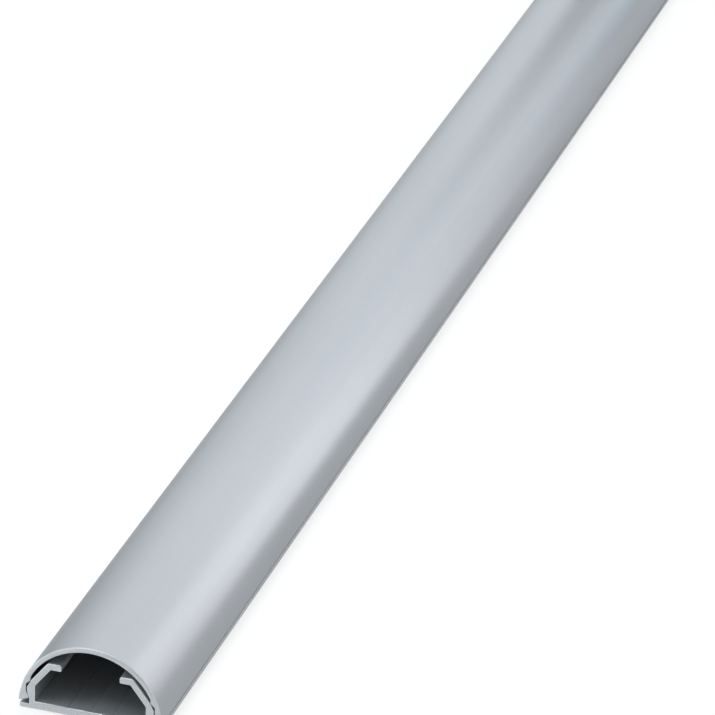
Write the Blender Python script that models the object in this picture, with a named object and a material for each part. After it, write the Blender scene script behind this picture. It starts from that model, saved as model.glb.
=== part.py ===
"""A half-round aluminium cable channel: a base profile with two leaning arms, and a cover that clips over it.

Metres, +Z up, the length along Y. The origin is on the underside, in the middle of the width and of the length.
Both profiles are symmetrical about the plane x = 0, so each section is given as its +X half.
"""

import math

import bmesh
import bpy
from mathutils import Vector

# Stock size
LENGTH = 1.1
COVER_RADIUS = 0.0165
COVER_CENTRE_Z = 0.00097
COVER_WALL = 0.00113

# Base: floor, flanges and the lines scribed along the floor for drilling
FLANGE_HALF_WIDTH = 0.0163
FLANGE_THICKNESS = 0.0010
FLOOR_TOP_Z = 0.00185
DRILL_LINES_X = (0.0, 0.005)
DRILL_LINE_WIDTH = 0.0003
DRILL_LINE_DEPTH = 0.00012

# Base: upright wall, which flares out to the knee that the cover's hook snaps under
WALL_INNER_X = 0.01275
WALL_OUTER_X = 0.01405
FLARE_BOTTOM_Z = 0.00230
FLARE_TOP_X = 0.01450
FLARE_TOP_Z = 0.00390
KNEE_X = 0.01465
KNEE_Z = 0.00500

# Base: leaning arm, which eases inwards at its bend, and the level lip at its top
BEND_X = 0.01362
BEND_Z = 0.00705
ARM_FOOT_Z = 0.00575
ARM_TOP_INNER_X = 0.00915
ARM_TOP_OUTER_X = 0.00975
LIP_UNDER_Z = 0.01045
LIP_TOP_Z = 0.01200
LIP_TIP_X = 0.00670

# Cover: lower end, hook under the knee, groove round the knee, and the rib that bears on the arm
SNAP_GAP = 0.00015
COVER_END_Z = 0.00155
HOOK_BOTTOM_Z = 0.00240
HOOK_TOP_Z = 0.00340
GROOVE_X = 0.01482
GROOVE_BOTTOM_Z = 0.00410
GROOVE_TOP_Z = 0.00590
RIB_TIP_Z = 0.00690
RIB_TOP_Z = 0.00775

# Corner radii
EDGE_RADIUS = 0.00025
FILLET_RADIUS = 0.00015
KNEE_RADIUS = 0.0004
ARM_RADIUS = 0.0008
LIP_RADIUS = 0.0005
SAWN_EDGE_RADIUS = 0.00012

# Fineness of the round stretches
COVER_ARC_STEPS = 48
CORNER_STEPS = 4
SAWN_EDGE_RESOLUTION = 1
SHARP_ANGLE = math.radians(30)
WELD_DISTANCE = 1e-6


def clear_scene():
    for old in list(bpy.data.objects):
        bpy.data.objects.remove(old, do_unlink=True)


def along(low, high, z):
    """The x at height z on the straight line through two points (x, z)."""
    share = (z - low[1]) / (high[1] - low[1])
    return low[0] + share * (high[0] - low[0])


def rounded_corner(before, corner, after, radius):
    """Points of the arc that rounds a corner between its two neighbours."""
    to_before = (before - corner).normalized()
    to_after = (after - corner).normalized()
    half_angle = to_before.angle(to_after) / 2
    centre = corner + (to_before + to_after).normalized() * (radius / math.sin(half_angle))
    tangent = radius / math.tan(half_angle)
    spoke = corner + to_before * tangent - centre
    clockwise = spoke.angle_signed(corner + to_after * tangent - centre)
    points = []
    for step in range(CORNER_STEPS + 1):
        angle = -clockwise * step / CORNER_STEPS
        turned_x = spoke.x * math.cos(angle) - spoke.y * math.sin(angle)
        turned_z = spoke.x * math.sin(angle) + spoke.y * math.cos(angle)
        points.append(centre + Vector((turned_x, turned_z)))
    return points


def outline_points(corners):
    """Points of a closed outline of corners (x, z, radius), where a radius of zero keeps the corner sharp."""
    places = [Vector(corner[:2]) for corner in corners]
    points = []
    for index, (place, corner) in enumerate(zip(places, corners)):
        if corner[2] == 0:
            points.append(place)
        else:
            following = places[(index + 1) % len(places)]
            points += rounded_corner(places[index - 1], place, following, corner[2])
    return points


def mirrored(half):
    """The whole outline, from the corners of its +X half."""
    return half + [(-x, z, radius) for x, z, radius in reversed(half) if x > 0]


def cover_arc(radius, low_z):
    """Corners along a circle of the cover, from its crown down to low_z on the +X side."""
    low_angle = math.asin((low_z - COVER_CENTRE_Z) / radius)
    corners = [(0, COVER_CENTRE_Z + radius, 0)]
    for step in range(1, COVER_ARC_STEPS + 1):
        angle = math.pi / 2 + (low_angle - math.pi / 2) * step / COVER_ARC_STEPS
        corners.append((radius * math.cos(angle), COVER_CENTRE_Z + radius * math.sin(angle), 0))
    return corners


def floor_half():
    """Corners along the floor's top, from the wall to the middle, with its V-shaped drill lines."""
    half_width = DRILL_LINE_WIDTH / 2
    corners = []
    for x in reversed(DRILL_LINES_X):
        corners.append((x + half_width, FLOOR_TOP_Z, 0))
        corners.append((x, FLOOR_TOP_Z - DRILL_LINE_DEPTH, 0))
        if x > half_width:
            corners.append((x - half_width, FLOOR_TOP_Z, 0))
    return corners


def base_section():
    flange_and_wall = [
        (FLANGE_HALF_WIDTH, 0, EDGE_RADIUS),
        (FLANGE_HALF_WIDTH, FLANGE_THICKNESS, EDGE_RADIUS),
        (WALL_OUTER_X, FLANGE_THICKNESS, FILLET_RADIUS),
        (WALL_OUTER_X, FLARE_BOTTOM_Z, 0),
        (FLARE_TOP_X, FLARE_TOP_Z, 0),
        (KNEE_X, KNEE_Z, KNEE_RADIUS),
        (BEND_X, BEND_Z, 0),
    ]
    arm_and_lip = [
        (ARM_TOP_OUTER_X, LIP_TOP_Z, ARM_RADIUS),
        (LIP_TIP_X, LIP_TOP_Z, LIP_RADIUS),
        (LIP_TIP_X, LIP_UNDER_Z, EDGE_RADIUS),
        (ARM_TOP_INNER_X, LIP_UNDER_Z, FILLET_RADIUS),
        (WALL_INNER_X, ARM_FOOT_Z, ARM_RADIUS),
        (WALL_INNER_X, FLOOR_TOP_Z, FILLET_RADIUS),
    ]
    return mirrored(flange_and_wall + arm_and_lip + floor_half())


def cover_section():
    outer = cover_arc(COVER_RADIUS, COVER_END_Z)
    inner = cover_arc(COVER_RADIUS - COVER_WALL, RIB_TOP_Z)
    end_x, end_z, _ = outer.pop()
    flare = ((WALL_OUTER_X, FLARE_BOTTOM_Z), (FLARE_TOP_X, FLARE_TOP_Z))
    knee_to_bend = ((KNEE_X, KNEE_Z), (BEND_X, BEND_Z))
    end_and_hook = [
        (end_x, end_z, EDGE_RADIUS),
        (along(*flare, HOOK_BOTTOM_Z) + SNAP_GAP, HOOK_BOTTOM_Z, FILLET_RADIUS),
        (along(*flare, HOOK_TOP_Z) + SNAP_GAP, HOOK_TOP_Z, FILLET_RADIUS),
    ]
    groove_and_rib = [
        (GROOVE_X, GROOVE_BOTTOM_Z, FILLET_RADIUS),
        (GROOVE_X, GROOVE_TOP_Z, FILLET_RADIUS),
        (along(*knee_to_bend, RIB_TIP_Z) + SNAP_GAP, RIB_TIP_Z, FILLET_RADIUS),
    ]
    return mirrored(outer + end_and_hook + groove_and_rib + inner[::-1])


def aluminium(name, colour, metallic, roughness):
    material = bpy.data.materials.new(name)
    material.use_nodes = True
    surface = material.node_tree.nodes["Principled BSDF"]
    surface.inputs["Base Color"].default_value = (*colour, 1)
    surface.inputs["Metallic"].default_value = metallic
    surface.inputs["Roughness"].default_value = roughness
    return material


def drawn_section(name, section):
    """The section as a flat curve, stood upright and extruded to the stock length, half to each side of y = 0.

    Its bevel rounds the edges of the sawn ends, and the offset keeps the walls where the section has them.
    """
    curve = bpy.data.curves.new(name, "CURVE")
    curve.dimensions = "2D"
    curve.fill_mode = "BOTH"
    curve.extrude = LENGTH / 2 - SAWN_EDGE_RADIUS
    curve.bevel_depth = SAWN_EDGE_RADIUS
    curve.bevel_resolution = SAWN_EDGE_RESOLUTION
    curve.offset = -SAWN_EDGE_RADIUS
    points = outline_points(section)
    spline = curve.splines.new("POLY")
    spline.points.add(len(points) - 1)
    for point, place in zip(spline.points, points):
        point.co = (place.x, place.y, 0, 1)
    spline.use_cyclic_u = True
    drawn = bpy.data.objects.new(name + "_section", curve)
    drawn.rotation_euler.x = math.pi / 2
    return drawn


def welded_mesh(drawn):
    """The curve's mesh, with its end faces joined to its sides and only its real edges left sharp."""
    graph = bpy.context.evaluated_depsgraph_get()
    mesh = bpy.data.meshes.new_from_object(drawn.evaluated_get(graph))
    shape = bmesh.new()
    shape.from_mesh(mesh)
    bmesh.ops.remove_doubles(shape, verts=shape.verts, dist=WELD_DISTANCE)
    bmesh.ops.recalc_face_normals(shape, faces=shape.faces)
    shape.to_mesh(mesh)
    shape.free()
    mesh.shade_smooth()
    mesh.set_sharp_from_angle(angle=SHARP_ANGLE)
    return mesh


def extruded_profile(name, section, material, collection):
    drawn = drawn_section(name, section)
    collection.objects.link(drawn)
    bpy.context.view_layer.update()
    mesh = welded_mesh(drawn)
    mesh.name = name
    mesh.materials.clear()
    mesh.materials.append(material)
    profile = bpy.data.objects.new(name, mesh)
    profile.matrix_world = drawn.matrix_world
    collection.objects.link(profile)
    bpy.data.objects.remove(drawn, do_unlink=True)
    return profile


def main():
    clear_scene()
    channel = bpy.data.collections.new("cable_channel")
    bpy.context.scene.collection.children.link(channel)
    base_metal = aluminium("base_aluminium", (0.34, 0.36, 0.38), 0.6, 0.42)
    cover_metal = aluminium("cover_aluminium", (0.34, 0.36, 0.38), 0.8, 0.40)
    extruded_profile("base", base_section(), base_metal, channel)
    extruded_profile("cover", cover_section(), cover_metal, channel)


main()
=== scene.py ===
import math

import bmesh
import bpy
from mathutils import Matrix, Vector


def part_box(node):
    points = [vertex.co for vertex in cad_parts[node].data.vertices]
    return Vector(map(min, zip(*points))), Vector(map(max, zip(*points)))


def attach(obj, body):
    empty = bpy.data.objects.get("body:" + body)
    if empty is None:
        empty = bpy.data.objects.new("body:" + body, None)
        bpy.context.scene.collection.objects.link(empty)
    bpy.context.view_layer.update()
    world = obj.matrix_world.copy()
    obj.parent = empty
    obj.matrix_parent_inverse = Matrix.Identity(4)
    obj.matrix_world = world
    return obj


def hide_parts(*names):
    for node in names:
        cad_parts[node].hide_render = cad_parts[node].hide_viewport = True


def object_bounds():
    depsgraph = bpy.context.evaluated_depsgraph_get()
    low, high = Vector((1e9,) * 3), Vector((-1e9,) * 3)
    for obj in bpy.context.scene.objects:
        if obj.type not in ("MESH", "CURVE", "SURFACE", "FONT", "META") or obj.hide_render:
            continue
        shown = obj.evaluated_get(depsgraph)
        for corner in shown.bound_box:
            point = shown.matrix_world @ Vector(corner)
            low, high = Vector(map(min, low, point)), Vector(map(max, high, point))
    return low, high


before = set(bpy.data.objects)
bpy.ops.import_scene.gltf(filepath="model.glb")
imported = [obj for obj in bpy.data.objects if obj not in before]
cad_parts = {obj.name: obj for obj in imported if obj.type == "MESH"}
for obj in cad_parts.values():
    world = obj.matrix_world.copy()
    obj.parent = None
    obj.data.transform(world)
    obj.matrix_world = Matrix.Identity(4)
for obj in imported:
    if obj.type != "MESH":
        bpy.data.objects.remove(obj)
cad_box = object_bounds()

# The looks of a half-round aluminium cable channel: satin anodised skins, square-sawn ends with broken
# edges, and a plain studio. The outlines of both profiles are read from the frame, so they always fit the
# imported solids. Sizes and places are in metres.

# Reading the profiles
WELD_DISTANCE = 1e-6
LONG_SHARE = 0.5
CLOSEST_PLACES = 0.000035
SHARPEST_MITRE = 2.0
LEAST_COSINE = 1e-6
SHARP_ANGLE = math.radians(35)

# Edges broken after sawing: a fine one all round, and a wider one round the outside of the cover
FINE_EDGE = 0.00012
RIM_EDGE = 0.00036
RIM_EDGE_LOW_Z = 0.0025
RIM_EDGE_FULL_Z = 0.0060
RIM_FALLOFF = 4
EDGE_STEPS = 3

# The clip closes to CLIP_GAP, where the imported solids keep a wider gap. Places farther off than
# CLIP_REACH stay where they are.
CLIP_GAP = 0.00004
CLIP_REACH = 0.00026

# Material slots of both profiles
SKIN_SLOT = 0
SAWN_SLOT = 1
EDGE_SLOT = 2

# Base colours of each finish, from its darkest to its lightest place
BASE_TINTS = ((0.322, 0.340, 0.360), (0.344, 0.361, 0.380))
COVER_TINTS = ((0.319, 0.337, 0.356), (0.336, 0.352, 0.371))
SAWN_TINTS = ((0.465, 0.490, 0.520), (0.590, 0.615, 0.640))
EDGE_TINTS = ((0.66, 0.68, 0.71), (0.86, 0.88, 0.90))

# How metallic each finish is, and the share of its reflection that a skin keeps at grazing angles
BASE_METALLIC = 0.5
COVER_METALLIC = 0.8
SAWN_METALLIC = 0.5
EDGE_METALLIC = 1.0
GRAZING_TINT = (0.74, 0.76, 0.78)

# Roughness of each finish, from the low to the high end of its pattern
BASE_ROUGHNESS = (0.38, 0.46)
COVER_ROUGHNESS = (0.37, 0.42)
SAWN_ROUGHNESS = (0.46, 0.62)
EDGE_ROUGHNESS = (0.46, 0.28)

# Cells per metre of each pattern, along X, Y and Z
DIE_LINES = (1500, 5, 1500)
BROAD_LINES = (330, 2.2, 330)
CLOUDS = (40, 14, 40)
GRAIN = (5200, 4200, 5200)
MOTTLE = (2600, 2600, 2600)
NICKS = (900, 900, 900)

# Offsets that keep these patterns from following the others
BROAD_LINES_OFFSET = (7, 0, 3)
NICKS_OFFSET = (3, 5, 1)

# Stretch of three patterns' sum that is spread over a skin's tints, and over its roughness
TINT_STRETCH = (1.2, 1.8)
ROUGHNESS_STRETCH = (1.1, 1.9)

# Depth of each relief
BASE_LINE_DEPTH = 0.0000015
COVER_LINE_DEPTH = 0.0000005
GRAIN_DEPTH = 0.0000012
ARC_DEPTH = 0.000004
MOTTLE_DEPTH = 0.000006
NICK_DEPTH = 0.000015

# Arcs of the saw blade, which turned about an axis along Y beside and below the channel
BLADE_AXIS = Vector((0.03, 0, -0.14))
ARC_SCALE = 900
ARC_DISTORTION = 2.5
ARC_DETAIL = 3
ARC_DETAIL_SCALE = 0.35
ARC_DETAIL_ROUGHNESS = 0.6

# Studio floor: a lit white table
FLOOR_HALF_SIDE = 20.0
FLOOR_GAP = 0.0002
FLOOR_COLOUR = (0.30, 0.30, 0.30)
FLOOR_GLOW = 0.67
FLOOR_ROUGHNESS = 0.9
FLOOR_SPECULAR = 0.1

# Studio lights: each softbox has its centre, the way it faces, its width, height, brightness and colour.
# Most of the brightnesses and colours follow a fit to the photo by another program, and were then moved by
# hand, the left lamp's brightness by half and the others by little or nothing.
WORLD_COLOUR = (0.94, 0.97, 1.0)
WORLD_STRENGTH = 0.03
DOWNWARD = Vector((0, 0, -1))
FORWARD = Vector((0, -1, 0))
BACKWARD = Vector((0, 1, 0))
RIGHTWARD = Vector((1, 0, 0))
LEFTWARD = Vector((-1, 0, 0))
SOFTBOXES = (
    ("key", (-0.25, -0.70, 0.80), DOWNWARD, 0.3, 0.5, 7.1, (0.84, 0.92, 1.0)),
    ("left", (-0.5, -0.82, 0.2), RIGHTWARD, 0.5, 0.36, 3.00, (0.94, 1.0, 0.94)),
    ("right", (0.5, -0.65, 0.2), LEFTWARD, 0.5, 0.36, 1.15, (0.94, 1.0, 0.92)),
    ("overhead", (0.3, 0.6, 1.5), DOWNWARD, 2.4, 0.6, 1.60, (1.0, 0.935, 0.90)),
    ("top_fill", (0, -0.5, 3.0), DOWNWARD, 6.0, 8.0, 0.70, (1.0, 1.0, 1.0)),
    ("front_fill", (0, -3.0, 0.65), BACKWARD, 8.0, 1.1, 0.14, (1.0, 1.0, 1.0)),
    ("back_right", (1.5, 1.1, 0.77), FORWARD, 0.5, 1.5, 6.93, (1.0, 0.977, 1.0)),
    ("back_high", (0.5, 1.1, 1.27), FORWARD, 1.5, 0.5, 3.08, (0.875, 0.938, 1.0)),
    ("back_middle", (0.75, 1.1, 0.77), FORWARD, 1.0, 0.5, 1.32, (1.0, 0.89, 0.86)),
    ("back_low", (0.45, 1.1, 0.27), FORWARD, 0.4, 0.5, 2.05, (0.61, 0.87, 1.0)),
    ("back_left", (-1.0, 1.1, 0.77), FORWARD, 1.5, 1.5, 1.83, (0.965, 0.99, 1.0)),
)

# Camera: lens, place, aim and roll come from a fit to the photo's edges by another program
CAMERA_LENS = 264.18
CAMERA_SENSOR = 36
CAMERA_NEAREST = 0.05
CAMERA_FARTHEST = 60
CAMERA_PLACE = Vector((0.3320, -1.4737, 0.5828))
CAMERA_AIM = Vector((0.00611, -0.37748, 0.008))
CAMERA_ROLL = math.radians(2.173)


def ring_of(node):
    """The outline of a packed profile as ordered places (x, z), anticlockwise as seen from its near end."""
    shape = bmesh.new()
    shape.from_mesh(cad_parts[node].data)
    bmesh.ops.remove_doubles(shape, verts=shape.verts, dist=WELD_DISTANCE)
    low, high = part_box(node)
    least = LONG_SHARE * (high.y - low.y)
    long_faces = {face for face in shape.faces if max(edge.calc_length() for edge in face.edges) > least}
    following = {}
    for face in long_faces:
        for loop in face.loops:
            across = loop.edge
            short = across.calc_length() < least
            if short and loop.vert.co.y < 0 and not all(other in long_faces for other in across.link_faces):
                following[loop.vert] = loop.link_loop_next.vert
    start = min(following, key=lambda vert: (vert.co.z, vert.co.x))
    places = [Vector((start.co.x, start.co.z))]
    vert = following[start]
    while vert is not start:
        places.append(Vector((vert.co.x, vert.co.z)))
        vert = following[vert]
    shape.free()
    if signed_area(places) < 0:
        places.reverse()
    return places


def signed_area(places):
    total = 0.0
    for place, following in zip(places, places[1:] + places[:1]):
        total += place.x * following.y - following.x * place.y
    return total / 2


def outward_mitres(places):
    """At each place of an anticlockwise outline, the outward vector that moves both sides out by one."""
    mitres = []
    for index, place in enumerate(places):
        arriving = (place - places[index - 1]).normalized()
        leaving = (places[(index + 1) % len(places)] - place).normalized()
        out_arriving = Vector((arriving.y, -arriving.x))
        out_leaving = Vector((leaving.y, -leaving.x))
        middle = (out_arriving + out_leaving).normalized()
        mitres.append(middle * min(1 / max(middle.dot(out_leaving), LEAST_COSINE), SHARPEST_MITRE))
    return mitres


def smooth_share(low, high, value):
    """How far the value is from low to high, from 0 to 1, easing in and out."""
    share = min(max((value - low) / (high - low), 0), 1)
    return share * share * (3 - 2 * share)


def base_edges(places):
    return [FINE_EDGE] * len(places)


def cover_edges(places):
    """Edge widths of the cover: wider round its outside, easing to the fine width near its lower ends."""
    crown = max(place.y for place in places)
    half_width = max(place.x for place in places)
    middle = Vector((0, crown - half_width))
    widths = []
    for place, mitre in zip(places, outward_mitres(places)):
        outside = max(mitre.normalized().dot((place - middle).normalized()), 0) ** RIM_FALLOFF
        rim = outside * smooth_share(RIM_EDGE_LOW_Z, RIM_EDGE_FULL_Z, place.y)
        widths.append(FINE_EDGE + rim * (RIM_EDGE - FINE_EDGE))
    return widths


def nearest_on(outline, place):
    """The point of a closed outline that is nearest to a place."""
    best = None
    for start, end in zip(outline, outline[1:] + outline[:1]):
        along = end - start
        share = min(max((place - start).dot(along) / along.length_squared, 0), 1)
        candidate = start + along * share
        if best is None or (candidate - place).length < (best - place).length:
            best = candidate
    return best


def thinned(places, least):
    """The places without those that follow their predecessor too closely for an inset edge."""
    kept = []
    for place in places:
        if not kept or (place - kept[-1]).length > least:
            kept.append(place)
    return kept


def closed_clip(places, neighbour):
    """The places moved towards the neighbour's outline, so that the narrowest gap closes to CLIP_GAP."""
    nearest_places = [nearest_on(neighbour, place) for place in places]
    packed_gap = min((nearest - place).length for nearest, place in zip(nearest_places, places))
    closed = []
    for place, nearest in zip(places, nearest_places):
        gap = (nearest - place).length
        move = (packed_gap - CLIP_GAP) * (1 - smooth_share(packed_gap, CLIP_REACH, gap))
        closed.append(place + (nearest - place).normalized() * move)
    return closed


def profile_mesh(name, places, widths, length, materials):
    """The outline run along Y, with a rounded edge round both sawn ends."""
    mitres = outward_mitres(places)
    turns = [step / EDGE_STEPS * math.pi / 2 for step in range(EDGE_STEPS + 1)]
    shape = bmesh.new()
    rows = []
    for end, end_turns in ((-1, reversed(turns)), (1, turns)):
        for turn in end_turns:
            row = []
            for place, mitre, width in zip(places, mitres, widths):
                inset = place - mitre * width * (1 - math.cos(turn))
                y = end * (length / 2 - width * (1 - math.sin(turn)))
                row.append(shape.verts.new((inset.x, y, inset.y)))
            rows.append(row)
    for index, (row, following) in enumerate(zip(rows, rows[1:])):
        for i in range(len(places)):
            face = shape.faces.new((row[i - 1], row[i], following[i], following[i - 1]))
            face.material_index = SKIN_SLOT if index == EDGE_STEPS else EDGE_SLOT
            face.smooth = True
    for row in (rows[0], rows[-1]):
        shape.faces.new(row).material_index = SAWN_SLOT
    bmesh.ops.recalc_face_normals(shape, faces=shape.faces)
    bmesh.ops.triangulate(shape, faces=[face for face in shape.faces if len(face.verts) > 4])
    mesh = bpy.data.meshes.new(name)
    shape.to_mesh(mesh)
    shape.free()
    mesh.set_sharp_from_angle(angle=SHARP_ANGLE)
    for material in materials:
        mesh.materials.append(material)
    return mesh


class Nodes:
    """Adds nodes to a node tree and joins them."""

    def __init__(self, tree):
        self.tree = tree

    def add(self, kind, values=None, **settings):
        node = self.tree.nodes.new(kind)
        for name, value in settings.items():
            setattr(node, name, value)
        for name, value in (values or {}).items():
            if isinstance(value, bpy.types.NodeSocket):
                self.tree.links.new(value, node.inputs[name])
            else:
                node.inputs[name].default_value = value
        return node


def pattern(nodes, scale, detail, roughness, offset=(0, 0, 0)):
    """Noise in object space, stretched by a scale for each axis, in cells per metre."""
    place = nodes.add("ShaderNodeTexCoord").outputs["Object"]
    stretched = nodes.add("ShaderNodeMapping", {"Vector": place, "Location": offset, "Scale": scale})
    noise = nodes.add(
        "ShaderNodeTexNoise",
        {"Vector": stretched.outputs["Vector"], "Scale": 1.0, "Detail": detail, "Roughness": roughness},
    )
    return noise.outputs["Fac"]


def ranged(nodes, value, low, high, start=0.3, stop=0.7):
    """The pattern's middle stretch, start to stop, spread over low to high."""
    spread = nodes.add(
        "ShaderNodeMapRange",
        {"Value": value, "From Min": start, "From Max": stop, "To Min": low, "To Max": high},
    )
    return spread.outputs["Result"]


def summed(nodes, first, second):
    return nodes.add("ShaderNodeMath", {0: first, 1: second}, operation="ADD").outputs[0]


def mixed_colour(nodes, share, first, second):
    mix = nodes.add("ShaderNodeMix", {"Factor": share}, data_type="RGBA")
    mix.inputs["A"].default_value = (*first, 1)
    mix.inputs["B"].default_value = (*second, 1)
    return mix.outputs["Result"]


def relief(nodes, height, depth, under=None):
    """The normal of a bump of full strength, laid over another normal where one is given."""
    values = {"Strength": 1.0, "Distance": depth, "Height": height}
    if under is not None:
        values["Normal"] = under
    return nodes.add("ShaderNodeBump", values).outputs["Normal"]


def new_metal(name, metallic):
    material = bpy.data.materials.new(name)
    material.use_nodes = True
    nodes = Nodes(material.node_tree)
    surface = material.node_tree.nodes["Principled BSDF"]
    surface.inputs["Metallic"].default_value = metallic
    return material, nodes, surface


def satin_aluminium(name, tints, metallic, roughness, line_depth):
    """Satin anodised aluminium: die lines along the length, a fine etched grain and slow changes of tint."""
    material, nodes, surface = new_metal(name, metallic)
    surface.inputs["Specular Tint"].default_value = (*GRAZING_TINT, 1)
    join = material.node_tree.links.new
    die_lines = pattern(nodes, DIE_LINES, detail=3, roughness=0.6)
    broad_lines = pattern(nodes, BROAD_LINES, detail=2, roughness=0.5, offset=BROAD_LINES_OFFSET)
    clouds = pattern(nodes, CLOUDS, detail=2, roughness=0.5)
    grain = pattern(nodes, GRAIN, detail=2, roughness=0.6)
    lines = summed(nodes, die_lines, broad_lines)
    blend = summed(nodes, lines, clouds)
    tint = mixed_colour(nodes, ranged(nodes, blend, 0, 1, *TINT_STRETCH), *tints)
    join(tint, surface.inputs["Base Color"])
    rough = summed(nodes, lines, grain)
    join(ranged(nodes, rough, *roughness, *ROUGHNESS_STRETCH), surface.inputs["Roughness"])
    line_relief = relief(nodes, lines, line_depth)
    join(relief(nodes, grain, GRAIN_DEPTH, line_relief), surface.inputs["Normal"])
    return material


def sawn_aluminium(name):
    """Bare aluminium as a saw blade leaves it: fine arcs across the face, and a mottled tint."""
    material, nodes, surface = new_metal(name, SAWN_METALLIC)
    join = material.node_tree.links.new
    place = nodes.add("ShaderNodeTexCoord").outputs["Object"]
    from_blade = nodes.add("ShaderNodeMapping", {"Vector": place, "Location": -BLADE_AXIS})
    arcs = nodes.add(
        "ShaderNodeTexWave",
        {
            "Vector": from_blade.outputs["Vector"],
            "Scale": ARC_SCALE,
            "Distortion": ARC_DISTORTION,
            "Detail": ARC_DETAIL,
            "Detail Scale": ARC_DETAIL_SCALE,
            "Detail Roughness": ARC_DETAIL_ROUGHNESS,
        },
        wave_type="RINGS",
        rings_direction="Y",
    ).outputs["Fac"]
    mottle = pattern(nodes, MOTTLE, detail=3, roughness=0.6)
    join(mixed_colour(nodes, ranged(nodes, mottle, 0, 1), *SAWN_TINTS), surface.inputs["Base Color"])
    join(ranged(nodes, mottle, *SAWN_ROUGHNESS), surface.inputs["Roughness"])
    arc_relief = relief(nodes, arcs, ARC_DEPTH)
    join(relief(nodes, mottle, MOTTLE_DEPTH, arc_relief), surface.inputs["Normal"])
    return material


def burnished_edge(name):
    """The edges where a blade has broken them: brighter than the sawn ends, with small nicks."""
    material, nodes, surface = new_metal(name, EDGE_METALLIC)
    join = material.node_tree.links.new
    nicks = pattern(nodes, NICKS, detail=3, roughness=0.6, offset=NICKS_OFFSET)
    join(mixed_colour(nodes, ranged(nodes, nicks, 0, 1), *EDGE_TINTS), surface.inputs["Base Color"])
    join(ranged(nodes, nicks, *EDGE_ROUGHNESS), surface.inputs["Roughness"])
    join(relief(nodes, nicks, NICK_DEPTH), surface.inputs["Normal"])
    return material


def add_profile(node, ring, widths, materials):
    """A finer mesh in place of a packed profile, riding on its node."""
    low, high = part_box(node)
    mesh = profile_mesh(node + "_profile", ring, widths, high.y - low.y, materials)
    piece = bpy.data.objects.new(node + "_profile", mesh)
    bpy.context.scene.collection.objects.link(piece)
    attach(piece, node)
    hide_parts(node)


def make_channel():
    base_ring = ring_of("base")
    cover_ring = thinned(closed_clip(ring_of("cover"), base_ring), CLOSEST_PLACES)
    base_skin = satin_aluminium("base_skin", BASE_TINTS, BASE_METALLIC, BASE_ROUGHNESS, BASE_LINE_DEPTH)
    cover_skin = satin_aluminium("cover_skin", COVER_TINTS, COVER_METALLIC, COVER_ROUGHNESS, COVER_LINE_DEPTH)
    sawn = sawn_aluminium("sawn_aluminium")
    burnished = burnished_edge("burnished_edge")
    add_profile("base", base_ring, base_edges(base_ring), (base_skin, sawn, burnished))
    add_profile("cover", cover_ring, cover_edges(cover_ring), (cover_skin, sawn, sawn))


def make_floor():
    bpy.ops.mesh.primitive_plane_add(size=2 * FLOOR_HALF_SIDE, location=(0, 0, cad_box[0].z - FLOOR_GAP))
    floor = bpy.context.object
    floor.name = "studio_floor"
    material = bpy.data.materials.new("floor_paper")
    material.use_nodes = True
    surface = material.node_tree.nodes["Principled BSDF"]
    surface.inputs["Base Color"].default_value = (*FLOOR_COLOUR, 1)
    surface.inputs["Roughness"].default_value = FLOOR_ROUGHNESS
    surface.inputs["Specular IOR Level"].default_value = FLOOR_SPECULAR
    surface.inputs["Emission Color"].default_value = (1, 1, 1, 1)
    surface.inputs["Emission Strength"].default_value = FLOOR_GLOW
    floor.data.materials.append(material)


def softbox(name, place, facing, width, height, brightness, colour):
    """A lamp that the camera doesn't see, with an energy in proportion to its brightness and area."""
    light = bpy.data.lights.new(name, "AREA")
    light.shape = "RECTANGLE"
    light.size = width
    light.size_y = height
    light.energy = brightness * math.pi * width * height
    light.color = colour
    lamp = bpy.data.objects.new(name, light)
    lamp.location = place
    lamp.rotation_euler = facing.to_track_quat("-Z", "Y").to_euler()
    lamp.visible_camera = False
    bpy.context.scene.collection.objects.link(lamp)


def make_lights():
    world = bpy.data.worlds.new("studio")
    world.use_nodes = True
    background = world.node_tree.nodes["Background"]
    background.inputs["Color"].default_value = (*WORLD_COLOUR, 1)
    background.inputs["Strength"].default_value = WORLD_STRENGTH
    bpy.context.scene.world = world
    for values in SOFTBOXES:
        softbox(*values)


def make_camera():
    camera = bpy.data.objects.new("camera", bpy.data.cameras.new("camera"))
    camera.data.lens = CAMERA_LENS
    camera.data.sensor_width = CAMERA_SENSOR
    camera.data.clip_start = CAMERA_NEAREST
    camera.data.clip_end = CAMERA_FARTHEST
    turned = (CAMERA_AIM - CAMERA_PLACE).to_track_quat("-Z", "Y").to_matrix().to_4x4()
    camera.matrix_world = Matrix.Translation(CAMERA_PLACE) @ turned @ Matrix.Rotation(CAMERA_ROLL, 4, "Z")
    bpy.context.scene.collection.objects.link(camera)
    bpy.context.scene.camera = camera


make_channel()
make_floor()
make_lights()
make_camera()
bpy.context.scene.view_settings.view_transform = "Standard"
